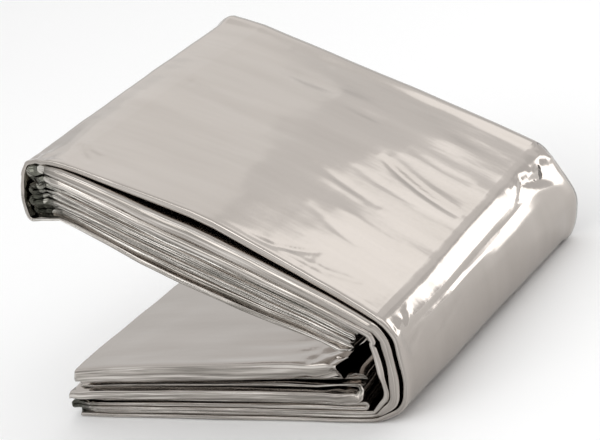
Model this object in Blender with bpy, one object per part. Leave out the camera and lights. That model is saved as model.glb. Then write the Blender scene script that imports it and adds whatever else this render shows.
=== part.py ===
"""Emergency foil blanket, folded to a packet and opened like a book on its last fold.

The flat sheet is 1.4 m by 2.1 m. It is folded in sixteen across its width, which makes one long
strip, and the strip is folded in twenty over its length. Ten lengths of strip lie in the lower half
of the packet and ten in the upper half. The three outer lengths of each half go round the spine
into the other half, and the rest turn back before it.

The blanket is one solid: the strip, with its sixteen layers of foil as one thickness, swept along
the whole back-and-forth route. X runs along the lower half towards the spine, Y runs from the front
edges to the back edges, and Z is up. The blanket rests on z = 0.
"""

import math
from typing import NamedTuple

import bpy
from mathutils import Vector

MM = 0.001

# Driving sizes, in millimetres and degrees.
STRIP_WIDTH = 87.5  # 1.4 m of foil folded in sixteen
STRIP_THICK = 1.0  # sixteen layers of foil and the air between them
RUNS = 10  # lengths of strip in each half of the packet
WRAPS = 3  # of those, the outer ones that go round the spine
STATIONS_ACROSS = 5  # sections from the front edge to the back edge
FLAT_STEPS = 2  # steps along a run of the lower half
BENT_STEPS = 14  # steps along a run of the upper half
SPINE_STEPS = 14  # steps round the spine
FOLD_STEPS = 6  # steps round one fold
FACE_LEVEL = 0.0  # the table
FRONT_SPREAD, BACK_SPREAD = 1.3, 0.4  # extra air between the wraps, halfway up the spine
WIDE_FOLD_BULGE = 1.4  # the outer upper run's left fold, which goes round the next two runs


class Stretch(NamedTuple):
    """One stretch of the packet's outer face, at its front edge and at its back edge."""

    front_length: float
    front_heading: float  # direction at the stretch's far end, turning up from +X
    back_length: float
    back_heading: float


# The outer face from the lower half's left end, round the spine, to the upper half's left end.
OUTER_FACE = {
    "on_table": Stretch(97.0, 0.0, 100.7, 0.0),
    "lift": Stretch(2.0, 17.0, 1.0, 12.0),
    "sole": Stretch(5.0, 18.0, 1.5, 20.0),
    "foot": Stretch(6.5, 60.0, 3.5, 58.0),
    "lower_wall": Stretch(7.5, 79.0, 4.5, 68.0),
    "upper_wall": Stretch(7.0, 86.0, 3.5, 72.0),
    "crease": Stretch(2.0, 104.0, 3.5, 106.0),
    "bevel": Stretch(2.0, 115.0, 11.0, 112.0),
    "shoulder": Stretch(4.0, 141.0, 4.5, 147.0),
    "rise": Stretch(41.0, 147.0, 42.0, 149.0),
    "crown": Stretch(12.0, 155.0, 12.0, 149.0),
    "top_end": Stretch(36.0, 158.0, 30.0, 149.0),
    "lip": Stretch(6.0, 172.0, 6.0, 150.0),
}


class Run(NamedTuple):
    """One length of strip in a half of the packet, counted from the outer face inwards."""

    gap_left: float  # air between this run and the one outside it, at the left end
    gap_middle: float
    gap_spine: float
    reach: float  # how far its left fold stands out past the outer run's
    setback: float  # how far its spine end keeps from the shoulder or the foot


LOWER_RUNS = (
    Run(0.00, 0.00, 0.00, 0.0, 0.0),
    Run(0.50, 0.50, 0.45, 0.0, 0.0),
    Run(0.60, 0.60, 0.45, 2.5, 0.0),
    Run(0.50, 0.50, 0.45, 2.5, 3.0),
    Run(0.70, 1.10, 0.50, -1.5, 3.0),
    Run(0.60, 0.65, 0.50, -1.5, 4.5),
    Run(0.70, 0.75, 0.50, -5.0, 4.5),
    Run(0.60, 0.60, 0.50, -5.0, 6.5),
    Run(0.90, 0.80, 0.50, -7.0, 6.5),
    Run(0.60, 0.60, 0.50, -7.0, 9.0),
)

UPPER_RUNS = (
    Run(0.00, 0.00, 0.00, 2.0, 0.0),
    Run(1.20, 2.10, 0.70, -1.0, 0.0),
    Run(0.70, 1.50, 0.70, -1.0, 0.0),
    Run(0.80, 0.80, 0.60, 2.0, 2.5),
    Run(1.00, 0.70, 0.60, 5.0, 2.5),
    Run(0.70, 0.70, 0.60, 5.0, 5.5),
    Run(0.90, 0.90, 0.70, 7.5, 5.5),
    Run(0.70, 0.70, 0.60, 7.5, 9.5),
    Run(1.10, 1.20, 0.70, 5.0, 9.5),
    Run(0.70, 0.80, 0.60, 5.0, 14.5),
)


def mix(front, back, across):
    """A value between the front edge's and the back edge's, across being 0 at the front."""
    return front + (back - front) * across


class Face:
    """The packet's outer face in one section: points and headings by distance along it."""

    STEP = 0.25

    def __init__(self, across):
        self.spread = mix(FRONT_SPREAD, BACK_SPREAD, across)
        self.marks = {}
        self.samples = [(0.0, Vector((0.0, FACE_LEVEL)), 0.0)]
        heading = 0.0
        for name, stretch in OUTER_FACE.items():
            length = mix(stretch.front_length, stretch.back_length, across)
            turn_to = math.radians(mix(stretch.front_heading, stretch.back_heading, across))
            steps = max(1, round(length / self.STEP))
            for i in range(steps):
                share = (i + 0.5) / steps
                self.advance(length / steps, heading + (turn_to - heading) * share)
            heading = turn_to
            self.marks[name] = self.samples[-1][0]
        self.length = self.samples[-1][0]

    def advance(self, length, heading):
        travelled, point, _ = self.samples[-1]
        step = Vector((math.cos(heading), math.sin(heading))) * length
        self.samples.append((travelled + length, point + step, heading))

    def at(self, distance):
        """The point and the heading at a distance; past either end the face goes on straight."""
        first, last = self.samples[1], self.samples[-1]
        if distance <= 0.0:
            return Vector((distance, FACE_LEVEL)), first[2]
        if distance >= self.length:
            on = Vector((math.cos(last[2]), math.sin(last[2]))) * (distance - self.length)
            return last[1] + on, last[2]
        low, high = 0, len(self.samples) - 1
        while high - low > 1:
            middle = (low + high) // 2
            if self.samples[middle][0] <= distance:
                low = middle
            else:
                high = middle
        a, b = self.samples[low], self.samples[high]
        share = (distance - a[0]) / (b[0] - a[0])
        return a[1].lerp(b[1], share), b[2]

    def inside(self, distance, depth):
        """The point at that depth under the face."""
        point, heading = self.at(distance)
        return point + Vector((-math.sin(heading), math.cos(heading))) * depth


def run_depth(runs, number, share):
    """Depth of a run's middle, share being 0 at the face's left end, 1 at the spine."""
    share = min(max(share, 0.0), 1.0)
    depth = STRIP_THICK / 2
    for run in runs[1 : number + 1]:
        hump = 4.0 * share * (1.0 - share)
        gap = run.gap_left + (run.gap_spine - run.gap_left) * share
        gap += (run.gap_middle - (run.gap_left + run.gap_spine) / 2) * hump
        depth += STRIP_THICK + gap
    return depth


def spaced(start, end, count):
    """Distances from start to end in that many equal steps."""
    return [start + (end - start) * i / count for i in range(count + 1)]


def lower_run(face, number):
    """Points of a lower run from its left end to its spine end."""
    run = LOWER_RUNS[number]
    spine = face.marks["lift"]
    points = []
    for distance in spaced(-run.reach, spine - run.setback, FLAT_STEPS):
        share = distance / spine
        points.append(face.inside(distance, run_depth(LOWER_RUNS, number, share)))
    return points


def upper_run(face, number):
    """Points of an upper run from its spine end to its left end."""
    run = UPPER_RUNS[number]
    spine = face.marks["shoulder"]
    points = []
    for distance in spaced(spine + run.setback, face.length + run.reach, BENT_STEPS):
        share = (face.length - distance) / (face.length - spine)
        points.append(face.inside(distance, run_depth(UPPER_RUNS, number, share)))
    return points


def spine_wrap(face, number):
    """Points of an outer run's way round the spine, from the lower half to the upper."""
    start, end = face.marks["lift"], face.marks["shoulder"]
    low = run_depth(LOWER_RUNS, number, 1.0)
    high = run_depth(UPPER_RUNS, number, 1.0)
    points = []
    for distance in spaced(start, end, SPINE_STEPS)[1:-1]:
        share = (distance - start) / (end - start)
        spread = face.spread * number * math.sin(math.pi * share)
        points.append(face.inside(distance, low + (high - low) * share + spread))
    return points


def fold(first, second, outwards, bulge):
    """Points of the half turn that joins two runs' ends, without the ends themselves."""
    middle, half = (first + second) / 2, (first - second) / 2
    reach = outwards.normalized() * half.length * bulge
    angles = [math.pi * i / FOLD_STEPS for i in range(1, FOLD_STEPS)]
    return [middle + half * math.cos(a) + reach * math.sin(a) for a in angles]


def joined(route, run, bulge=1.0):
    """The route with a fold and then the run added to it."""
    outwards = (route[-1] - route[-2]).normalized() - (run[1] - run[0]).normalized()
    return route + fold(route[-1], run[0], outwards, bulge) + run


def strip_route(face):
    """The strip's middle line in one section, from its inner end below to the one above."""
    last = RUNS - 1
    route = lower_run(face, last)[::-1]
    for number in range(last - 1, WRAPS - 1, -1):
        run = lower_run(face, number)
        route = joined(route, run if (last - number) % 2 else run[::-1])
    route = joined(route, lower_run(face, 2)) + spine_wrap(face, 2) + upper_run(face, 2)
    route = joined(route, upper_run(face, 1)[::-1]) + spine_wrap(face, 1)[::-1]
    route += lower_run(face, 1)[::-1]
    route = joined(route, lower_run(face, 0)) + spine_wrap(face, 0) + upper_run(face, 0)
    for number in range(WRAPS, RUNS):
        run = upper_run(face, number)
        bulge = WIDE_FOLD_BULGE if number == WRAPS else 1.0
        route = joined(route, run[::-1] if (number - WRAPS) % 2 == 0 else run, bulge)
    return route


def strip_sides(route):
    """The strip's two faces in one section, half its thickness to each side of the route."""
    left, right = [], []
    for i, point in enumerate(route):
        ahead = (route[min(i + 1, len(route) - 1)] - point)
        behind = (point - route[max(i - 1, 0)])
        along = (ahead.normalized() if ahead.length else Vector((0.0, 0.0))) + (
            behind.normalized() if behind.length else Vector((0.0, 0.0))
        )
        across = Vector((-along.y, along.x)).normalized()
        turn = ahead.normalized().dot(across) if ahead.length else 0.0
        half = STRIP_THICK / 2 / math.sqrt(max(0.5, 1.0 - turn * turn))
        left.append(point + across * half)
        right.append(point - across * half)
    return left, right


def foil_material():
    material = bpy.data.materials.new("foil")
    material.use_nodes = True
    shader = material.node_tree.nodes["Principled BSDF"]
    shader.inputs["Base Color"].default_value = (0.72, 0.70, 0.68, 1.0)
    shader.inputs["Metallic"].default_value = 1.0
    shader.inputs["Roughness"].default_value = 0.2
    return material


def build_blanket():
    sections = []
    for i in range(STATIONS_ACROSS):
        across = i / (STATIONS_ACROSS - 1)
        left, right = strip_sides(strip_route(Face(across)))
        sections.append((across * STRIP_WIDTH, left + right[::-1]))
    flat = [p for _, ring in sections for p in ring]
    middle_x = (min(p.x for p in flat) + max(p.x for p in flat)) / 2
    vertices = [
        ((p.x - middle_x) * MM, (y - STRIP_WIDTH / 2) * MM, p.y * MM)
        for y, ring in sections
        for p in ring
    ]
    around = len(sections[0][1])
    faces = []
    for i in range(STATIONS_ACROSS - 1):
        for j in range(around):
            k = (j + 1) % around
            a, b = i * around + j, i * around + k
            faces.append((a, b, b + around, a + around))
    back = (STATIONS_ACROSS - 1) * around
    for j in range(around // 2 - 1):
        a, b, c, d = j, j + 1, around - 2 - j, around - 1 - j
        faces.append((d, c, b, a))
        faces.append((back + a, back + b, back + c, back + d))
    mesh = bpy.data.meshes.new("foil_blanket")
    mesh.from_pydata(vertices, [], faces)
    mesh.materials.append(foil_material())
    mesh.validate()
    blanket = bpy.data.objects.new("foil_blanket", mesh)
    bpy.context.scene.collection.objects.link(blanket)
    return blanket


def main():
    for leftover in list(bpy.data.objects):
        bpy.data.objects.remove(leftover)
    build_blanket()


main()
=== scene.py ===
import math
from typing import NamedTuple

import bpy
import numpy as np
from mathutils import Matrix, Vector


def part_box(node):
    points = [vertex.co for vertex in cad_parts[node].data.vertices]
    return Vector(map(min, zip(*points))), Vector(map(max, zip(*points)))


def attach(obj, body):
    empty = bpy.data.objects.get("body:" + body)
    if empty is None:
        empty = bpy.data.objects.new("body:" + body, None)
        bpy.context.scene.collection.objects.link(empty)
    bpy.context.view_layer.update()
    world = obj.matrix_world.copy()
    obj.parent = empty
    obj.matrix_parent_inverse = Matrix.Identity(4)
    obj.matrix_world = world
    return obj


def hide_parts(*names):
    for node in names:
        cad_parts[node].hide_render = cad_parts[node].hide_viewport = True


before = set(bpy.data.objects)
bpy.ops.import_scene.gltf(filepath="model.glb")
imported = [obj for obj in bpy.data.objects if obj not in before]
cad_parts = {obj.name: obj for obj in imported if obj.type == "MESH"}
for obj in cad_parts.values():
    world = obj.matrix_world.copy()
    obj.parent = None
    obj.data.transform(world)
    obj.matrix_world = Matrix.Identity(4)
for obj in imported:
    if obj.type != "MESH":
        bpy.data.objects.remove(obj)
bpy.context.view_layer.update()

# An emergency foil blanket, folded to a packet and opened like a book on its last fold.
#
# The blanket is one sheet of metallised film, folded here from its flat cut. It is halved four
# times across its width, which makes a strip of sixteen layers, and the strip runs back and forth
# twenty times: ten runs in the lower half of the packet and ten in the upper half. Three runs of
# each half go on round the spine into the other half.

MM = 0.001

# The flat cut and its folds, in millimetres.
SHEET_WIDTH = 1400.0
SHEET_LENGTH = 2100.0
HALVINGS = 4
STRIP_WIDTH = SHEET_WIDTH / 2**HALVINGS
RUNS = 10  # runs of the strip in each half of the packet
WRAPS = 3  # of those, the outer ones that go round the spine
BEND = 1.2  # half the width of foil that a fold across the strip takes up
BACK_THICK = 1.30  # a run's thickness along the back of the packet
BACK_GAP = 0.22
WRAP_THICKS = (1.3, 2.6, 1.7)  # at the front, halfway up the spine
WRAP_THICK_BACK = 0.9
WRAP_SPREAD_FRONT, WRAP_SPREAD_BACK = 1.3, 0.4  # extra air between the wraps, halfway up
OUTLINE_START = 3.77  # from the box's low X to the outline's start

# Distances from the front edges at which the packet's section is worked out.
STATIONS = (0.0, 2.0, 5.0, 10.0, 22.0, 45.0, STRIP_WIDTH)
FRONT_FADE = 9.0  # how fast the runs' own sizes fade from the front to the back's even ones

# Lines along the cut. Its stretches between two folds are counted from 0.
HIDDEN_LINES = (2.5, 7.0, 18.0, 45.0)  # distances from the front edges, on the hidden layers
SHOWN_STRETCH = 1  # the one that ends up outermost
SHOWN_CELLS = 20
SHOWN_CROWDING = 1.25  # above 1, its lines crowd towards the front edge
FOLD_CELLS = {0: 10, 1: 6, 2: 3, 3: 3}  # cells round the fold after each stretch
HIDDEN_FOLD_CELLS = 2  # the same for all the other folds

# How a run's layers are spaced: mostly evenly, and further apart just under its two faces.
EVEN_SHARE = 0.62
FACE_POWER = 9


class Stretch(NamedTuple):
    """One stretch of the packet's outer face, at its front edge and at its back edge."""

    front_length: float
    front_heading: float  # direction at the stretch's far end, turning up from +X
    back_length: float
    back_heading: float


# The outer face from the lower half's left end, round the spine, to the upper half's left end.
OUTER_FACE = {
    "on_table": Stretch(97.0, 0.0, 100.7, 0.0),
    "lift": Stretch(2.0, 17.0, 1.0, 12.0),
    "sole": Stretch(5.0, 18.0, 1.5, 20.0),
    "foot": Stretch(6.5, 60.0, 3.5, 58.0),
    "lower_wall": Stretch(7.5, 79.0, 4.5, 68.0),
    "upper_wall": Stretch(7.0, 86.0, 3.5, 72.0),
    "crease": Stretch(2.0, 104.0, 3.5, 106.0),
    "bevel": Stretch(2.0, 115.0, 11.0, 112.0),
    "shoulder": Stretch(4.0, 141.0, 4.5, 147.0),
    "rise": Stretch(41.0, 147.0, 42.0, 149.0),
    "crown": Stretch(12.0, 155.0, 12.0, 149.0),
    "top_end": Stretch(36.0, 158.0, 30.0, 149.0),
    "lip": Stretch(6.0, 172.0, 6.0, 150.0),
}


class Run(NamedTuple):
    """One run of the strip, counted from the outer face inwards; sizes are at its front edge."""

    thick_left: float
    thick_middle: float
    thick_spine: float
    gap_left: float  # air between this run and the one outside it
    gap_middle: float
    gap_spine: float
    stand: float  # how far its front edge stands out past the strip's own line
    roundness: float  # of its front edge: 1 is a half round, 0 is flat
    reach: float  # how far its left fold stands out past the outer run's
    setback: float  # how far its spine end keeps from the spine
    steps: int  # rows along it


LOWER_RUNS = (
    Run(0.9, 1.0, 0.9, 0.0, 0.0, 0.0, 0.3, 0.7, 0.0, 0.0, 12),
    Run(0.9, 1.0, 0.9, 0.1, 0.1, 0.1, 0.0, 0.7, 0.0, 0.0, 12),
    Run(0.9, 1.0, 0.9, 0.2, 0.1, 0.1, 0.4, 0.7, 2.5, 0.0, 12),
    Run(0.8, 1.0, 0.9, 0.1, 0.1, 0.1, 0.1, 0.7, 2.5, 3.0, 12),
    Run(0.7, 0.9, 0.8, 0.5, 0.3, 0.1, -0.4, 0.7, 0.0, 3.0, 12),
    Run(2.4, 2.6, 2.6, 0.2, 0.1, 0.1, 0.5, 0.5, 0.0, 4.0, 18),
    Run(0.6, 0.6, 0.5, 0.1, 0.3, 0.7, -1.0, 0.7, -3.5, 4.0, 12),
    Run(0.5, 0.5, 0.4, 0.1, 0.3, 0.8, -2.0, 0.7, -3.5, 2.0, 12),
    Run(0.6, 0.5, 0.4, 0.1, 0.2, 0.7, -1.4, 0.7, -6.0, 2.0, 12),
    Run(3.8, 4.6, 3.3, 0.2, 0.2, 0.5, 0.4, 0.35, -6.0, 5.0, 24),
)

UPPER_RUNS = (
    Run(1.0, 1.9, 1.5, 0.0, 0.0, 0.0, 0.2, 0.35, 3.0, 0.0, 28),
    Run(2.6, 4.1, 2.6, 0.2, 1.9, 0.5, 0.4, 0.8, 3.2, 0.0, 28),
    Run(2.3, 2.7, 2.0, 0.2, 0.4, 0.3, 0.2, 0.8, 3.2, 0.0, 24),
    Run(1.3, 1.2, 1.0, 0.2, 0.3, 0.2, -0.3, 0.7, 6.2, 2.5, 17),
    Run(1.2, 1.1, 0.9, 0.2, 0.2, 0.1, 0.1, 0.7, 6.2, 3.5, 12),
    Run(1.2, 1.1, 0.9, 0.2, 0.3, 0.1, -0.2, 0.7, 7.2, 3.5, 12),
    Run(1.2, 1.2, 0.9, 0.1, 0.2, 0.1, 0.2, 0.7, 7.2, 4.5, 12),
    Run(1.3, 1.3, 1.0, 0.2, 0.4, 0.1, -1.0, 0.7, 7.4, 4.5, 12),
    Run(1.2, 1.2, 0.8, 0.2, 0.4, 0.1, -0.8, 0.7, 7.4, 3.8, 12),
    Run(0.9, 1.4, 0.8, 0.2, 0.2, 0.1, 0.2, 0.7, 8.5, 3.8, 16),
)

SPINE_STEPS = 26  # rows round the spine
SPINE_STAND, SPINE_ROUNDNESS = 0.2, 0.5  # a run's stand and roundness, on its way round the spine
GAP_SHARPNESS = 3.0  # how soon the air between runs closes towards their ends
END_CROWDING = 0.13  # how much closer together a run's rows are at its ends
FOLD_STEPS = 4  # rows round a fold at a run's end
FOLD_FILL = 1.7  # the most that a fold's layers may take up, in radii of the fold
WIDE_FOLD_BULGE = 0.36  # the outer upper run's left fold, a flattened cap over the others' ends
WIDE_FOLD_STEPS = 18


def mix(front, back, across):
    """A value between the front edge's and the back edge's, across being 0 at the front."""
    return front + (back - front) * across


def three_way(left, middle, right, share, sharpness=1.0):
    """A smooth curve through three values, share being 0 at the left and 1 at the right."""
    hump = (4.0 * share * (1.0 - share)) ** sharpness
    return left + (right - left) * share + (middle - (left + right) / 2) * hump


class Face:
    """The packet's outer face in one section: points and headings by distance along it."""

    STEP = 0.25

    def __init__(self, from_front):
        self.across = from_front / STRIP_WIDTH
        self.frontness = math.exp(-from_front / FRONT_FADE)
        self.marks = {}
        travelled, x, z, heading = [0.0], [0.0], [0.0], [0.0]
        turned = 0.0
        for name, stretch in OUTER_FACE.items():
            length = mix(stretch.front_length, stretch.back_length, self.across)
            turn_to = math.radians(mix(stretch.front_heading, stretch.back_heading, self.across))
            steps = max(1, round(length / self.STEP))
            for i in range(steps):
                now = turned + (turn_to - turned) * (i + 0.5) / steps
                travelled.append(travelled[-1] + length / steps)
                x.append(x[-1] + math.cos(now) * length / steps)
                z.append(z[-1] + math.sin(now) * length / steps)
                heading.append(now)
            turned = turn_to
            self.marks[name] = travelled[-1]
        self.length = travelled[-1]
        self.travelled, self.x, self.z, self.heading = map(np.array, (travelled, x, z, heading))

    def inside(self, distance, depth):
        """The point at that depth under the face; past its end the face goes straight on."""
        x = np.interp(distance, self.travelled, self.x)
        z = np.interp(distance, self.travelled, self.z)
        heading = np.interp(distance, self.travelled, self.heading)
        over = max(distance - self.length, 0.0) + min(distance, 0.0)
        x += over * math.cos(heading) - math.sin(heading) * depth
        z += over * math.sin(heading) + math.cos(heading) * depth
        return np.array((x, z))


class Place(NamedTuple):
    """One row of the strip in one section."""

    point: np.ndarray  # on the strip's middle line
    thick: float
    along: float  # distance along the outer face
    run: int  # 0 to 9 in the lower half, 10 to 19 in the upper half, 20 to 22 round the spine


def run_place(face, runs, number, share, distance, kind):
    """The place of a run, share being 0 at the left end and 1 at the spine."""
    share = min(max(share, 0.0), 1.0)
    depth = 0.0
    for run in runs[: number + 1]:
        gap = three_way(run.gap_left, run.gap_middle, run.gap_spine, share, GAP_SHARPNESS)
        thick = three_way(run.thick_left, run.thick_middle, run.thick_spine, share)
        thick = mix(BACK_THICK, thick, face.frontness)
        depth += thick + (mix(BACK_GAP, gap, face.frontness) if run is not runs[0] else 0.0)
    return Place(face.inside(distance, depth - thick / 2), thick, distance, kind)


def spaced(start, end, count):
    """Distances from start to end in that many equal steps."""
    return [start + (end - start) * i / count for i in range(count + 1)]


def closer_at_ends(start, end, count):
    """Distances from start to end, a tenth as far apart at both ends as in the middle."""
    distances = []
    for i in range(count + 1):
        share = i / count
        share -= math.sin(2 * math.pi * share) * END_CROWDING
        distances.append(start + (end - start) * share)
    return distances


def lower_run(face, number):
    """Places of a lower run from its left end to its spine end."""
    run, spine = LOWER_RUNS[number], face.marks["lift"]
    places = []
    for distance in closer_at_ends(-run.reach, spine - run.setback, run.steps):
        places.append(run_place(face, LOWER_RUNS, number, distance / spine, distance, number))
    return places


def upper_run(face, number):
    """Places of an upper run from its spine end to its left end."""
    run, spine, left = UPPER_RUNS[number], face.marks["shoulder"], face.length
    places = []
    for distance in closer_at_ends(spine + run.setback, left + run.reach, run.steps):
        share = (left - distance) / (left - spine)
        places.append(run_place(face, UPPER_RUNS, number, share, distance, RUNS + number))
    return places


def spine_wrap(face, number):
    """Places of an outer run's way round the spine, from the lower half to the upper."""
    start, end = face.marks["lift"], face.marks["shoulder"]
    low = run_place(face, LOWER_RUNS, number, 1.0, start, 0)
    high = run_place(face, UPPER_RUNS, number, 1.0, end, 0)
    low_depth = np.linalg.norm(low.point - face.inside(start, 0.0))
    high_depth = np.linalg.norm(high.point - face.inside(end, 0.0))
    spread = mix(WRAP_SPREAD_FRONT, WRAP_SPREAD_BACK, face.across) * number
    wrap_thick = mix(WRAP_THICK_BACK, WRAP_THICKS[number], face.frontness)
    places = []
    for distance in spaced(start, end, SPINE_STEPS)[1:-1]:
        share = (distance - start) / (end - start)
        hump = math.sin(math.pi * share)
        thick = mix(mix(low.thick, high.thick, share), wrap_thick, hump)
        depth = mix(low_depth, high_depth, share)
        depth = depth + spread * hump if number else thick / 2
        places.append(Place(face.inside(distance, depth), thick, distance, 2 * RUNS + number))
    return places


def fold(first, second, outwards, bulge, steps):
    """Places of the half turn that joins two runs' ends, without the ends themselves."""
    middle, half = (first.point + second.point) / 2, (first.point - second.point) / 2
    radius = np.linalg.norm(half)
    reach = outwards / np.linalg.norm(outwards) * radius * bulge
    places = []
    for i in range(1, steps):
        angle = math.pi * i / steps
        point = middle + half * math.cos(angle) + reach * math.sin(angle)
        thick = min(mix(first.thick, second.thick, i / steps), FOLD_FILL * radius)
        along = mix(first.along, second.along, i / steps)
        places.append(Place(point, thick, along, first.run if 2 * i <= steps else second.run))
    return places


def joined(route, run, bulge=1.0, steps=FOLD_STEPS):
    """The route with a fold and then the run added to it."""
    before = route[-1].point - route[-2].point
    after = run[1].point - run[0].point
    outwards = before / np.linalg.norm(before) - after / np.linalg.norm(after)
    return route + fold(route[-1], run[0], outwards, bulge, steps) + run


def strip_route(face):
    """The strip's way in one section, from its inner end below to its inner end above."""
    last = RUNS - 1
    route = lower_run(face, last)[::-1]
    for number in range(last - 1, WRAPS - 1, -1):
        run = lower_run(face, number)
        route = joined(route, run if (last - number) % 2 else run[::-1])
    route = joined(route, lower_run(face, 2)) + spine_wrap(face, 2) + upper_run(face, 2)
    route = joined(route, upper_run(face, 1)[::-1]) + spine_wrap(face, 1)[::-1]
    route += lower_run(face, 1)[::-1]
    route = joined(route, lower_run(face, 0)) + spine_wrap(face, 0) + upper_run(face, 0)
    route = joined(route, upper_run(face, last)[::-1], WIDE_FOLD_BULGE, WIDE_FOLD_STEPS)
    for number in range(last - 1, WRAPS - 1, -1):
        run = upper_run(face, number)
        route = joined(route, run if (last - number) % 2 else run[::-1])
    return route


class Crease(NamedTuple):
    """A soft trough or ridge in the foil, from one end to the other, sizes in millimetres."""

    start_along: float  # distance along the outer face
    start_in: float  # distance from the front edge
    end_along: float
    end_in: float
    bow: float  # how far its middle bends away from the straight line
    width: float
    height: float  # above the face, negative for a trough


# Creases on the top of the upper half.
TOP_CREASES = (
    Crease(214.0, 68.5, 182.0, 67.0, -1.0, 2.4, -0.20),
    Crease(180.0, 65.0, 166.0, 64.5, 0.5, 1.5, -0.11),
    Crease(160.0, 50.5, 134.5, 43.0, 1.5, 1.1, -0.23),
    Crease(159.0, 52.5, 136.0, 46.0, 1.5, 1.6, 0.14),
    Crease(157.0, 58.5, 137.0, 57.0, 1.0, 1.5, -0.09),
    Crease(172.0, 36.5, 150.0, 32.0, 0.5, 1.3, -0.13),
    Crease(168.0, 33.5, 154.0, 31.5, 0.3, 1.0, 0.09),
    Crease(164.0, 42.0, 144.0, 39.5, 0.6, 1.2, -0.09),
    Crease(209.0, 45.0, 188.0, 39.5, -1.0, 2.0, -0.13),
    Crease(211.0, 51.0, 196.0, 50.0, 0.5, 1.6, -0.09),
    Crease(206.0, 28.0, 186.0, 26.0, 0.5, 2.0, -0.09),
    Crease(208.0, 16.0, 176.0, 13.0, 1.0, 2.2, -0.11),
    Crease(204.0, 80.0, 190.0, 79.0, 0.5, 1.6, -0.09),
    Crease(168.0, 1.5, 152.0, 8.5, 1.8, 0.9, -0.20),
    Crease(164.0, 3.5, 140.0, 6.5, 2.0, 1.1, 0.13),
    Crease(164.0, 22.0, 146.0, 16.0, 1.0, 1.2, -0.11),
    Crease(160.0, 26.0, 140.0, 23.5, 0.8, 1.0, 0.07),
    Crease(222.0, 9.5, 214.0, 3.5, 0.5, 0.9, -0.23),
    Crease(220.5, 11.0, 213.0, 8.0, 0.5, 0.8, 0.14),
    Crease(216.0, 49.0, 214.5, 46.5, 0.0, 0.7, -0.16),
)

# Where the top turns down to the spine: a narrow fold line, a rounded ridge and crumples.
EDGE_CREASES = (
    Crease(125.7, 2.0, 125.4, 66.0, 0.3, 0.45, -0.30),
    Crease(127.4, 6.0, 128.0, 64.0, 0.4, 1.1, 0.22),
    Crease(131.0, 66.0, 126.0, 60.5, 0.0, 0.7, 0.45),
    Crease(126.0, 60.5, 130.5, 70.5, 0.0, 0.7, -0.40),
    Crease(130.5, 70.5, 126.5, 76.0, 0.0, 0.7, 0.45),
    Crease(126.5, 76.0, 130.5, 79.5, 0.0, 0.7, -0.40),
    Crease(130.5, 79.5, 127.0, 85.0, 0.0, 0.7, 0.40),
    Crease(129.8, 8.0, 125.5, 4.0, 0.0, 0.6, 0.40),
    Crease(129.0, 2.0, 125.5, 4.0, 0.0, 0.6, -0.35),
    Crease(129.5, 4.5, 125.0, 0.5, 0.0, 0.5, 0.35),
    Crease(121.0, 3.0, 124.5, 9.0, 0.0, 0.6, -0.20),
    Crease(118.0, 10.0, 123.0, 28.0, 0.4, 0.8, -0.10),
)

# Creases on the top of the lower half, by distance along the table.
LOWER_CREASES = (
    Crease(90.0, 6.0, 52.0, 3.0, 0.8, 1.2, -0.22),
    Crease(89.0, 11.0, 56.0, 9.0, 1.0, 1.4, -0.24),
    Crease(88.0, 15.0, 60.0, 15.0, 0.6, 1.5, 0.20),
    Crease(90.0, 21.0, 58.0, 23.0, 1.0, 1.8, -0.22),
    Crease(86.0, 27.0, 50.0, 31.0, 1.0, 2.0, 0.16),
    Crease(40.0, 8.0, 10.0, 5.0, 0.5, 1.6, -0.10),
)


# The border along the upper half's left edge, which slopes down: where it begins, along the face.
BORDER_FRONT, BORDER_BACK = 220.0, 216.0
BORDER_SLOPE = 0.10

# The pressed-in left ends: where they begin along the face, and how deep they go.
POCKET_TOP, POCKET_LOW = 222.0, 7.0
POCKET_SLOPE = 6.0
POCKET_DEPTH = 0.9

# The runs whose outermost layer gets a finer mesh, and into how many more cells.
FINER_RUNS = {"top": RUNS, "spine": 2 * RUNS, "bottom": RUNS - 1}
FINER_CUTS = {"top": 5, "spine": 2, "bottom": 2}
ALL_CORNERS = 0.999  # a face's mean is above this when all its corners are at 1

# What is kept on the mesh only while it is shaped, apart from the runs above.
SHAPE_GUIDES = ("upper_half", "along", "inwards", "follows", "out_x", "out_z")

# How strongly the stacked layers' ridges and their painted shade and highlight stripes show on each
# run's front edge, counted from the outer face.
LOWER_LAYER_RIDGES_AND_SHADING = (0.5, 0.6, 0.6, 0.6, 0.7, 0.5, 1.0, 1.0, 1.0, 0.45)
UPPER_LAYER_RIDGES_AND_SHADING = (0.2, 0.4, 0.5, 1.0, 1.0, 1.0, 1.0, 1.0, 1.0, 0.8)
SPINE_LAYER_RIDGES_AND_SHADING = (0.3, 0.25, 0.3)
# This reach also sets how far the painted shade and highlight stripes go round the front fold.
LAYER_RIDGES_AND_SHADING_REACH = 1.6  # how far the stacked layers show round the front fold

EDGE_FADE = 6.0  # how fast what is true of the front edges fades towards the back
BACK_ROUNDNESS = 0.6  # of the folds at the back
WANDER_LENGTHS = (37.0, 19.0, 9.0, 5.0)  # of the waves in which the front edges wander
WANDER = 0.09

CREASE_START = 2.5  # how far in from the front edge creases and ripples reach full height
RIPPLE_WAVES = 14
CRUMPLE_WAVES = 5


class Section(NamedTuple):
    """Across the folded strip: where each line along the flat cut comes to lie."""

    from_front: np.ndarray  # distance from the front fold's line
    lift: np.ndarray  # -1 on the strip's inner face to 1 on its outer face
    front_out: np.ndarray  # how far it goes out round the front fold, as a share of half a run
    back_out: np.ndarray  # the same for the folds at the back


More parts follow.
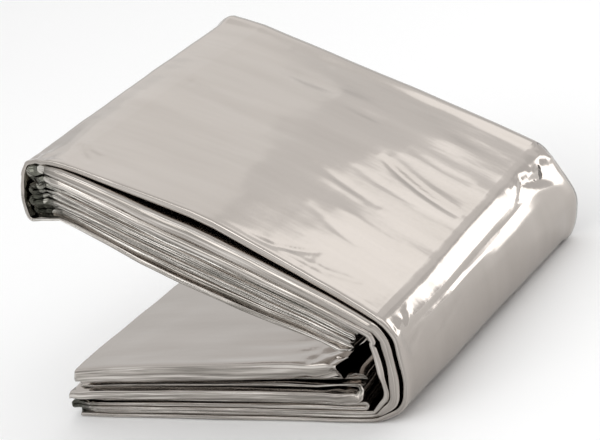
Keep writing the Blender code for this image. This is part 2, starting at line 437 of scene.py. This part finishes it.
def strip_section(lines):
    """Halves the cut again and again, each time laying the far half over the near one."""
    place = lines.copy()
    height = np.zeros_like(place)
    back_out = np.zeros_like(place)
    width, layers = SHEET_WIDTH, 1
    for halving in range(HALVINGS):
        middle = width / 2
        angle = math.pi * np.clip((place - (middle - BEND)) / (2 * BEND), 0.0, 1.0)
        radius = layers - 0.5 - height
        if halving < HALVINGS - 1:
            back_out = np.maximum(back_out, radius * np.sin(angle))
        height = layers - 0.5 - radius * np.cos(angle)
        laid_over = np.where(angle >= math.pi, width - place, middle - BEND)
        place = np.where(angle <= 0.0, place, laid_over)
        width, layers = middle, layers * 2
    half = layers / 2 - 0.5
    share = radius / half
    spacing = EVEN_SHARE * share + (1.0 - EVEN_SHARE) * share**FACE_POWER
    return Section(
        from_front=np.clip(STRIP_WIDTH - BEND - place, 0.0, STRIP_WIDTH),
        lift=-np.cos(angle) * spacing,
        front_out=np.sin(angle) * spacing,
        back_out=back_out / half,
    )


def width_lines():
    """Lines along the cut, close together on the layer that shows and round the folds."""
    lines = []
    last = 2**HALVINGS - 1
    for stretch in range(last + 1):
        start, end = stretch * STRIP_WIDTH, (stretch + 1) * STRIP_WIDTH
        flat_start = start + BEND if stretch else start
        flat_end = end - BEND if stretch < last else end
        lines += [flat_start, flat_end]
        if stretch == SHOWN_STRETCH:
            lines += shown_lines(flat_start, flat_end)
        elif stretch % 2 == 1:
            lines += [start + BEND + inwards for inwards in HIDDEN_LINES]
        else:
            lines += [end - BEND - inwards for inwards in HIDDEN_LINES]
        if stretch < last:
            cells = FOLD_CELLS.get(stretch, HIDDEN_FOLD_CELLS)
            lines += [end - BEND + 2 * BEND * i / cells for i in range(1, cells)]
    return np.array(sorted(set(lines)))


def shown_lines(start, end):
    """Lines on the layer that shows, closest near its front edge."""
    shares = (np.arange(1, SHOWN_CELLS) / SHOWN_CELLS) ** SHOWN_CROWDING
    return list(start + (end - start) * shares)


def directions(middle):
    """At each row, the direction out of the strip, between its neighbours' two directions."""
    ahead = np.diff(middle, axis=1)
    ahead /= np.linalg.norm(ahead, axis=2, keepdims=True)
    before = np.concatenate([ahead[:, :1], ahead], axis=1)
    after = np.concatenate([ahead, ahead[:, -1:]], axis=1)
    heading = before + after
    heading /= np.linalg.norm(heading, axis=2, keepdims=True)
    return np.stack([heading[..., 1], -heading[..., 0]], axis=-1)


def between_stations(from_front, values):
    """Values at each station turned into values at each line across the cut."""
    stations = np.array(STATIONS)
    after = np.searchsorted(stations, from_front, side="right")
    after = np.clip(after, 1, len(stations) - 1)
    share = (from_front - stations[after - 1]) / (stations[after] - stations[after - 1])
    share = share.reshape((-1,) + (1,) * (values.ndim - 1))
    return values[after - 1] * (1 - share) + values[after] * share


def foil_points(section):
    """Every point of the folded sheet, by row along the strip and line across the cut."""
    routes = [strip_route(Face(station)) for station in STATIONS]
    middle = np.array([[place.point for place in route] for route in routes])
    thick = np.array([[place.thick for place in route] for route in routes])
    along = np.array([[place.along for place in route] for route in routes])
    run = np.array([place.run for place in routes[0]])
    outward = between_stations(section.from_front, directions(middle))
    outward /= np.linalg.norm(outward, axis=2, keepdims=True)
    middle = between_stations(section.from_front, middle)
    thick = between_stations(section.from_front, thick)
    along = between_stations(section.from_front, along)
    return middle, thick, along, outward, run


class Crumple(NamedTuple):
    """A spot where the foil is pressed into small facets, sizes in millimetres."""

    along: float  # distance along the outer face
    depth: float  # under the outer face
    inwards: float  # from the front edge
    spread: tuple  # how far it reaches along, in and up
    height: float
    facet: float  # a facet's width
    seed: int


CRUMPLES = (
    Crumple(229.0, 9.0, 1.0, (6.5, 5.0, 8.0), 0.85, 3.2, 11),
    Crumple(2.0, 7.0, 1.0, (6.0, 5.0, 5.0), 0.70, 3.2, 12),
    Crumple(93.0, 13.0, 1.0, (9.0, 7.0, 8.0), 1.15, 3.0, 13),
    Crumple(135.0, 13.5, 1.0, (6.0, 6.0, 6.0), 0.95, 2.8, 18),
    Crumple(78.0, 10.0, 0.0, (12.0, 3.0, 2.2), 0.40, 2.8, 14),
    Crumple(124.0, 1.0, 1.5, (4.5, 4.5, 4.0), 0.60, 3.4, 15),
    Crumple(127.0, 0.5, 73.0, (4.5, 9.0, 4.5), 0.55, 4.4, 16),
    Crumple(157.0, 4.2, 2.5, (11.0, 4.0, 1.8), 0.26, 2.2, 17),
)


def crumpled(points):
    """The points with the facets of every crumple added."""
    moved = points.copy()
    for spot in CRUMPLES:
        chance = np.random.default_rng(spot.seed)
        x, z = Face(spot.inwards).inside(spot.along, spot.depth)
        away = (points - np.array((x, spot.inwards, z))) / np.array(spot.spread)
        near = np.exp(-np.sum(away**2, axis=-1))
        for _ in range(CRUMPLE_WAVES):
            across, shift = chance.normal(size=(2, 3))
            across /= np.linalg.norm(across) * spot.facet * chance.uniform(0.8, 1.7)
            shift /= np.linalg.norm(shift)
            wave = 4.0 * np.abs((points @ across + chance.uniform()) % 1.0 - 0.5) - 1.0
            height = spot.height / math.sqrt(CRUMPLE_WAVES)
            moved += (height * near * wave)[..., None] * shift
    return moved


def crease_height(creases, along, inwards):
    """How far the creases raise the face at each point."""
    total = np.zeros_like(along)
    for crease in creases:
        start = np.array((crease.start_along, crease.start_in))
        end = np.array((crease.end_along, crease.end_in))
        span = end - start
        length = np.linalg.norm(span)
        share = ((along - start[0]) * span[0] + (inwards - start[1]) * span[1]) / length**2
        aside = ((inwards - start[1]) * span[0] - (along - start[0]) * span[1]) / length
        hump = np.clip(4.0 * share * (1.0 - share), 0.0, 1.0)
        aside = aside - crease.bow * hump
        total += crease.height * np.sqrt(hump) * np.exp(-((aside / crease.width) ** 2))
    return total


def ripples(along, inwards, seed, height, stretch, size):
    """Gentle unevenness, longer along the run than across it."""
    chance = np.random.default_rng(seed)
    total = np.zeros_like(along)
    for _ in range(RIPPLE_WAVES):
        length = size * chance.uniform(0.6, 2.2)
        turn = chance.normal(0.0, 0.35)
        phase = chance.uniform(0.0, 2 * math.pi)
        way = inwards * math.cos(turn) + along * math.sin(turn) / stretch
        bend = 0.8 * np.sin(2 * math.pi * along / (size * stretch) + chance.uniform(0.0, 6.0))
        total += length / size * np.sin(2 * math.pi * way / length + phase + bend)
    return total * height / math.sqrt(RIPPLE_WAVES)


def raised_face(along, inwards, upper):
    """How far creases and ripples raise the face that shows, on the upper or the lower half."""
    creases, seed = (TOP_CREASES + EDGE_CREASES, 3) if upper else (LOWER_CREASES, 5)
    raised = crease_height(creases, along, inwards)
    raised += ripples(along, inwards, seed, height=0.024, stretch=4.0, size=8.0)
    raised += ripples(along, inwards, seed + 1, height=0.060, stretch=1.1, size=26.0)
    return raised * np.clip(inwards / CREASE_START, 0.0, 1.0)


def uneven_edges(along, run):
    """How far each run's front edge wanders in and out along its length."""
    wander = np.zeros(along.shape)
    for number in range(2 * RUNS + WRAPS):
        chance = np.random.default_rng(100 + number)
        rows = run == number
        for length in WANDER_LENGTHS:
            phase = chance.uniform(0.0, 2 * math.pi)
            wave = np.sin(2 * math.pi * along[:, rows] / length + phase)
            wander[:, rows] += length / WANDER_LENGTHS[0] * wave
    return wander * WANDER


def border_drop(along, inwards):
    """How far the upper half's left end slopes down past its border."""
    border = BORDER_FRONT + (BORDER_BACK - BORDER_FRONT) * inwards / STRIP_WIDTH
    return BORDER_SLOPE * np.maximum(along - border, 0.0)


def pocket_depth(along, run):
    """How far the front folds keep back at the packet's left ends, where it is pressed in."""
    upper = (run > RUNS) & (run < 2 * RUNS - 1)
    lower = (run > 0) & (run < 5)
    top_pocket = np.clip((along - POCKET_TOP) / POCKET_SLOPE, 0.0, 1.0) * upper
    low_pocket = np.clip((POCKET_LOW - along) / POCKET_SLOPE, 0.0, 1.0) * lower
    return POCKET_DEPTH * (top_pocket + low_pocket)


def blanket_points(section, middle, thick, along, outward, run):
    """The sheet's points in millimetres: along the table, in from the front, and up."""
    all_runs = LOWER_RUNS + UPPER_RUNS
    stands = [each.stand for each in all_runs] + [SPINE_STAND] * WRAPS
    roundnesses = [each.roundness for each in all_runs] + [SPINE_ROUNDNESS] * WRAPS
    stand, roundness = np.array(stands)[run], np.array(roundnesses)[run]
    half = thick / 2
    offset = section.lift[:, None] * half
    points = middle + outward * offset[..., None]
    frontness = np.exp(-section.from_front / EDGE_FADE)[:, None]
    kept_back = pocket_depth(along, run) - stand - uneven_edges(along, run)
    inwards = section.from_front[:, None] + kept_back * frontness
    inwards = inwards - section.front_out[:, None] * half * roundness
    inwards = inwards + section.back_out[:, None] * half * BACK_ROUNDNESS
    return np.stack([points[..., 0], inwards, points[..., 1]], axis=-1)


def keep(mesh, name, values):
    """Keeps a value for every point on the mesh, under a name."""
    layer = mesh.attributes.new(name, "FLOAT", "POINT")
    layer.data.foreach_set("value", values)


def read(mesh, name):
    """The values kept under a name."""
    values = np.empty(len(mesh.vertices))
    mesh.attributes[name].data.foreach_get("value", values)
    return values


def face_middles(mesh, values):
    """The mean of a value over each face's corners."""
    corners = np.empty(len(mesh.loops), dtype=int)
    mesh.loops.foreach_get("vertex_index", corners)
    starts = np.empty(len(mesh.polygons), dtype=int)
    mesh.polygons.foreach_get("loop_start", starts)
    counts = np.diff(np.append(starts, len(corners)))
    return np.add.reduceat(values[corners], starts) / counts


def made_finer(blanket, name, cuts):
    """Cuts the outermost layer's faces in one run into smaller ones."""
    mesh = blanket.data
    in_run = face_middles(mesh, read(mesh, name)) > ALL_CORNERS
    outermost = face_middles(mesh, read(mesh, "follows")) > ALL_CORNERS
    bpy.ops.object.mode_set(mode="EDIT")
    bpy.ops.mesh.select_mode(type="FACE")
    bpy.ops.mesh.select_all(action="DESELECT")
    bpy.ops.object.mode_set(mode="OBJECT")
    mesh.polygons.foreach_set("select", in_run & outermost)
    bpy.ops.object.mode_set(mode="EDIT")
    bpy.ops.mesh.subdivide(number_cuts=cuts, smoothness=1.0)
    bpy.ops.object.mode_set(mode="OBJECT")


def creased(mesh, start):
    """Adds the creases to the faces that show, the sloping border and the crumples."""
    points = np.empty(len(mesh.vertices) * 3)
    mesh.vertices.foreach_get("co", points)
    points = (points.reshape(-1, 3) - start) / MM
    along, inwards = read(mesh, "along"), read(mesh, "inwards")
    upper = read(mesh, "top") + read(mesh, "spine")
    raised = raised_face(along, inwards, True) * upper
    raised += raised_face(along, inwards, False) * read(mesh, "bottom")
    raised *= read(mesh, "follows")
    points[:, 0] += read(mesh, "out_x") * raised
    points[:, 2] += read(mesh, "out_z") * raised
    points[:, 2] -= border_drop(along, inwards) * read(mesh, "upper_half")
    points = crumpled(points)
    points[:, 2] = np.maximum(points[:, 2], 0.0)
    mesh.vertices.foreach_set("co", (points * MM + start).ravel())
    for name in SHAPE_GUIDES + tuple(FINER_RUNS):
        mesh.attributes.remove(mesh.attributes[name])
    mesh.update()


def grid_sheet(points, lines):
    """The sheet as a grid, a row of cells for each row of points, with its flat cut as UV."""
    rows = points.shape[1]
    cells = {"x_subdivisions": rows - 1, "y_subdivisions": len(lines) - 1}
    bpy.ops.object.select_all(action="DESELECT")
    bpy.ops.mesh.primitive_grid_add(size=1.0, **cells)
    blanket = bpy.context.object
    blanket.name = blanket.data.name = "foil_sheet"
    mesh = blanket.data
    flat = np.empty(len(mesh.vertices) * 3)
    mesh.vertices.foreach_get("co", flat)
    flat = flat.reshape(-1, 3)
    column = np.rint((flat[:, 0] + 0.5) * (rows - 1)).astype(int)
    line = np.rint((flat[:, 1] + 0.5) * (len(lines) - 1)).astype(int)
    mesh.vertices.foreach_set("co", points[line, column].ravel())

    steps = np.linalg.norm(np.diff(points[-1], axis=0), axis=1)
    unrolled = np.concatenate([[0.0], np.cumsum(steps)]) / steps.sum()
    corner = np.empty(len(mesh.loops), dtype=int)
    mesh.loops.foreach_get("vertex_index", corner)
    cut = np.stack([unrolled[column], lines[line] / SHEET_WIDTH], axis=-1)
    mesh.uv_layers[0].name = "flat_cut"
    mesh.uv_layers[0].data.foreach_set("uv", cut[corner].ravel())
    return blanket, line, column


def outline_start():
    """Where the outline starts: on the table, at the packet's front left."""
    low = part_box("foil_blanket")[0]
    return low[0] + OUTLINE_START * MM, low[1], 0.0


def keep_finish_guides(mesh, section, along, run, line, column):
    """Keeps what the finish reads: where the stacked layers' ridges and painted shade and highlight
    stripes show, and where the pressed-in ends get their hollows and painted shade and glints.
    """
    # Mask of the front edges' painted shade and highlight stripes, and of their ridges.
    ridges_and_shading = np.array(LOWER_LAYER_RIDGES_AND_SHADING + UPPER_LAYER_RIDGES_AND_SHADING + SPINE_LAYER_RIDGES_AND_SHADING)[run]
    edge = np.clip(section.front_out * LAYER_RIDGES_AND_SHADING_REACH, 0.0, 1.0)
    keep(mesh, "front_edge", edge[line] * ridges_and_shading[column])
    # Mask of the pressed-in ends' painted shade and glints, and of their hollows.
    pressed = pocket_depth(along, run) / POCKET_DEPTH
    pressed = pressed * np.exp(-section.from_front / EDGE_FADE)[:, None]
    keep(mesh, "pocket", pressed[line, column])


def keep_shape_guides(mesh, section, along, outward, run, line, column):
    """Keeps what the creases and the finer mesh read, until the shape is done."""
    upper_half = (run >= RUNS) & (run < 2 * RUNS)
    keep(mesh, "upper_half", upper_half[column].astype(float))
    keep(mesh, "along", along[line, column])
    keep(mesh, "inwards", section.from_front[line])
    keep(mesh, "follows", np.clip(section.lift, 0.0, 1.0)[line])
    keep(mesh, "out_x", outward[line, column, 0])
    keep(mesh, "out_z", outward[line, column, 1])
    for name, number in FINER_RUNS.items():
        keep(mesh, name, (run == number)[column].astype(float))


def folded_foil():
    """The blanket, folded from its flat cut."""
    lines = width_lines()
    section = strip_section(lines)
    middle, thick, along, outward, run = foil_points(section)
    start = np.array(outline_start())
    points = blanket_points(section, middle, thick, along, outward, run) * MM + start
    blanket, line, column = grid_sheet(points, lines)
    keep_finish_guides(blanket.data, section, along, run, line, column)
    keep_shape_guides(blanket.data, section, along, outward, run, line, column)
    for name, cuts in FINER_CUTS.items():
        made_finer(blanket, name, cuts)
    creased(blanket.data, start)
    bpy.ops.object.shade_smooth()
    return blanket


# The foil's colours: places on a ramp, and the colour at each.
FILM_TONES = (
    (0.30, (0.488, 0.453, 0.422, 1.0)),
    (0.70, (0.530, 0.493, 0.462, 1.0)),
)
# Painted shade in the lines between the stacked layers, and a painted highlight far lighter than
# the film.
LAYER_SHADE_AND_HIGHLIGHT_TONES = (
    (0.38, (0.060, 0.060, 0.048, 1.0)),
    (0.47, (0.290, 0.275, 0.250, 1.0)),
    (0.55, (0.500, 0.472, 0.442, 1.0)),
    (0.62, (0.940, 0.915, 0.875, 1.0)),
)
# Painted shade in the pressed-in ends, with a few lighter facets as painted glints.
POCKET_SHADE_AND_GLINT_TONES = (
    (0.20, (0.045, 0.047, 0.036, 1.0)),
    (0.50, (0.110, 0.112, 0.092, 1.0)),
    (0.68, (0.240, 0.240, 0.210, 1.0)),
    (0.88, (0.620, 0.600, 0.560, 1.0)),
)

# The patterns' scales along and across the flat cut; it is 1 long and 1 wide.
STREAKS = (30.0, 160.0)
STACK = (70.0, 5200.0)
GRAIN = (1900.0, 1300.0)
SOFT_CREASES = (70.0, 170.0)
FACETS = 380.0  # to a metre
SMOOTHEST, ROUGHEST = 0.09, 0.17


def noise_over(nodes, links, cut, stretch, detail):
    """A noise pattern on the flat cut, stretched along and across it."""
    mapping = nodes.new("ShaderNodeMapping")
    mapping.inputs["Scale"].default_value = (stretch[0], stretch[1], 1.0)
    links.new(cut.outputs["UV"], mapping.inputs["Vector"])
    noise = nodes.new("ShaderNodeTexNoise")
    noise.inputs["Scale"].default_value = 1.0
    noise.inputs["Detail"].default_value = detail
    noise.inputs["Roughness"].default_value = 0.55
    links.new(mapping.outputs["Vector"], noise.inputs["Vector"])
    return noise


def ramp_over(nodes, links, source, stops):
    """A colour ramp read by a pattern, given as place and colour pairs."""
    ramp = nodes.new("ShaderNodeValToRGB")
    elements = ramp.color_ramp.elements
    elements[0].position, elements[1].position = stops[0][0], stops[-1][0]
    elements[0].color, elements[1].color = stops[0][1], stops[-1][1]
    for place, colour in stops[1:-1]:
        elements.new(place).color = colour
    links.new(source, ramp.inputs["Fac"])
    return ramp


def mixed(nodes, links, share, first, second):
    """A colour that goes from the first to the second as the share goes from 0 to 1."""
    blend = nodes.new("ShaderNodeMix")
    blend.data_type = "RGBA"
    links.new(share, blend.inputs["Factor"])
    links.new(first, blend.inputs["A"])
    links.new(second, blend.inputs["B"])
    return blend.outputs["Result"]


def multiplied(nodes, links, first, second):
    """One pattern times another."""
    product = nodes.new("ShaderNodeMath")
    product.operation = "MULTIPLY"
    links.new(first, product.inputs[0])
    links.new(second, product.inputs[1])
    return product.outputs["Value"]


def bump_over(nodes, links, height, strength, distance):
    """A bump that follows a pattern."""
    bump = nodes.new("ShaderNodeBump")
    bump.inputs["Strength"].default_value = strength
    bump.inputs["Distance"].default_value = distance
    links.new(height, bump.inputs["Height"])
    return bump


def kept_value(nodes, name):
    """A value kept on the mesh."""
    value = nodes.new("ShaderNodeAttribute")
    value.attribute_name = name
    return value.outputs["Fac"]


def pressed_facets(nodes, links):
    """The small facets of the pressed-in ends, for their hollows and for their painted shade and
    glints.
    """
    place = nodes.new("ShaderNodeTexCoord")
    facets = nodes.new("ShaderNodeTexVoronoi")
    facets.feature = "F1"
    facets.inputs["Scale"].default_value = FACETS
    facets.inputs["Randomness"].default_value = 1.0
    links.new(place.outputs["Object"], facets.inputs["Vector"])
    return facets


def foil_colour(nodes, links, cut, layers, facets, edge, pocket):
    """The film's faint streaks, painted shade and highlight stripes between the stacked layers on
    the front edges, and painted shade with a few painted glints on the facets in the ends.
    """
    streaks = noise_over(nodes, links, cut, STREAKS, 3.0)
    film = ramp_over(nodes, links, streaks.outputs["Fac"], FILM_TONES)
    # Painted shade and highlight stripes on the front edges.
    stack = ramp_over(nodes, links, layers.outputs["Fac"], LAYER_SHADE_AND_HIGHLIGHT_TONES)
    # Painted shade and glints in the pressed-in ends.
    dark = ramp_over(nodes, links, facets.outputs["Color"], POCKET_SHADE_AND_GLINT_TONES)
    foil = mixed(nodes, links, edge, film.outputs["Color"], stack.outputs["Color"])
    return mixed(nodes, links, pocket, foil, dark.outputs["Color"])


def foil_gloss(nodes, links, cut):
    """Nearly a mirror, and a little uneven."""
    grain = noise_over(nodes, links, cut, GRAIN, 2.0)
    gloss = nodes.new("ShaderNodeMapRange")
    gloss.inputs["To Min"].default_value = SMOOTHEST
    gloss.inputs["To Max"].default_value = ROUGHEST
    links.new(grain.outputs["Fac"], gloss.inputs["Value"])
    return gloss.outputs["Result"]


def foil_relief(nodes, links, cut, layers, facets, edge, pocket):
    """Soft creases, then the layers' ridges on the front edges, then the ends' hollows."""
    creases = noise_over(nodes, links, cut, SOFT_CREASES, 3.0)
    ridges = multiplied(nodes, links, layers.outputs["Fac"], edge)
    hollows = multiplied(nodes, links, facets.outputs["Distance"], pocket)
    soft = bump_over(nodes, links, creases.outputs["Fac"], strength=0.3, distance=0.0003)
    ridged = bump_over(nodes, links, ridges, strength=0.8, distance=0.0004)
    hollowed = bump_over(nodes, links, hollows, strength=1.0, distance=0.0007)
    links.new(soft.outputs["Normal"], ridged.inputs["Normal"])
    links.new(ridged.outputs["Normal"], hollowed.inputs["Normal"])
    return hollowed.outputs["Normal"]


def foil_finish():
    """Silvered film: a warm mirror with faint streaks, stacked layer ridges along its front edges
    painted with shade and highlight stripes, and painted shade and glints in the pressed-in ends.
    """
    material = bpy.data.materials.new("silver_foil")
    material.use_nodes = True
    nodes, links = material.node_tree.nodes, material.node_tree.links
    cut = nodes.new("ShaderNodeUVMap")
    cut.uv_map = "flat_cut"
    layers = noise_over(nodes, links, cut, STACK, 2.0)
    facets = pressed_facets(nodes, links)
    # Masks of the painted stripes on the front edges and of the painted shade and glints in the
    # pressed-in ends.
    guides = kept_value(nodes, "front_edge"), kept_value(nodes, "pocket")
    colour = foil_colour(nodes, links, cut, layers, facets, *guides)
    relief = foil_relief(nodes, links, cut, layers, facets, *guides)
    shader = nodes["Principled BSDF"]
    shader.inputs["Metallic"].default_value = 1.0
    links.new(colour, shader.inputs["Base Color"])
    links.new(foil_gloss(nodes, links, cut), shader.inputs["Roughness"])
    links.new(relief, shader.inputs["Normal"])
    return material


class Panel(NamedTuple):
    """A soft light panel, by where it hangs as seen from the packet, in degrees."""

    toward: float  # from +Y, turning to +X
    up: float
    wide: float
    high: float
    glow: float  # its radiance
    away: float  # its distance in metres


PANELS = {
    "back": Panel(-10.0, 46.0, 68.0, 30.0, 0.18, 1.5),
    "back_right": Panel(11.0, 44.0, 14.5, 18.0, 0.5, 1.5),
    "back_left": Panel(-28.5, 42.0, 27.0, 18.0, 0.12, 1.5),
    "right": Panel(40.0, 7.0, 14.0, 26.0, 1.6, 0.45),
    "side": Panel(84.0, 36.0, 44.0, 36.0, 0.9, 1.2),
    "front": Panel(188.0, 33.0, 56.0, 24.0, 1.3, 1.5),
}


PANELS_FACE = 0.05  # the height that they are turned to


def soft_panel(name, panel):
    """Hangs one panel, turned to face the packet's middle."""
    toward, up = math.radians(panel.toward), math.radians(panel.up)
    way = Vector(
        (math.sin(toward) * math.cos(up), math.cos(toward) * math.cos(up), math.sin(up))
    )
    data = bpy.data.lights.new(name, "AREA")
    data.shape = "RECTANGLE"
    data.size = 2 * panel.away * math.tan(math.radians(panel.wide / 2))
    data.size_y = 2 * panel.away * math.tan(math.radians(panel.high / 2))
    data.energy = panel.glow * math.pi * data.size * data.size_y
    lamp = bpy.data.objects.new(name, data)
    lamp.location = way * panel.away + Vector((0.0, 0.0, PANELS_FACE))
    lamp.rotation_euler = way.to_track_quat("Z", "Y").to_euler()
    bpy.context.scene.collection.objects.link(lamp)


FLOOR_SIZE = 6.0
FLOOR_GAP = 0.0002  # under the packet, so that their faces don't meet


def pale_floor():
    """A plain pale floor just under the packet."""
    bpy.ops.object.select_all(action="DESELECT")
    bpy.ops.mesh.primitive_plane_add(size=FLOOR_SIZE, location=(0.0, 0.0, -FLOOR_GAP))
    floor = bpy.context.object
    floor.name = "pale_floor"
    paint = bpy.data.materials.new("pale_floor")
    paint.use_nodes = True
    shader = paint.node_tree.nodes["Principled BSDF"]
    shader.inputs["Base Color"].default_value = (0.93, 0.93, 0.93, 1.0)
    shader.inputs["Roughness"].default_value = 0.9
    floor.data.materials.append(paint)


def studio():
    """The floor, an even white surround and the panels."""
    pale_floor()
    world = bpy.data.worlds.new("soft_studio")
    bpy.context.scene.world = world
    world.use_nodes = True
    back = world.node_tree.nodes["Background"]
    back.inputs["Color"].default_value = (1.0, 1.0, 1.0, 1.0)
    back.inputs["Strength"].default_value = 0.9
    for name, panel in PANELS.items():
        soft_panel(name, panel)
    bpy.context.scene.view_settings.view_transform = "Standard"
    bpy.context.scene.view_settings.gamma = 0.85


CAMERA_PLACE = (0.30784, -0.21843, 0.14906)  # metres from where the outline starts
CAMERA_YAW, CAMERA_PITCH, CAMERA_ROLL = 43.745, 18.13, -21.855  # degrees


def camera():
    """Low on the front right, rolled to the left, looking a little down at the packet."""
    data = bpy.data.cameras.new("camera")
    data.sensor_width = 36.0
    data.lens = 91.57
    data.clip_start = 0.01
    eye = bpy.data.objects.new("camera", data)
    turn = (
        Matrix.Rotation(math.radians(CAMERA_YAW), 4, "Z")
        @ Matrix.Rotation(math.pi / 2 - math.radians(CAMERA_PITCH), 4, "X")
        @ Matrix.Rotation(math.radians(CAMERA_ROLL), 4, "Z")
    )
    place = Vector(outline_start()) + Vector(CAMERA_PLACE)
    eye.matrix_world = Matrix.Translation(place) @ turn
    bpy.context.scene.collection.objects.link(eye)
    bpy.context.scene.camera = eye


camera()
blanket = folded_foil()
blanket.data.materials.append(foil_finish())
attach(blanket, "root")
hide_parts("foil_blanket")
studio()
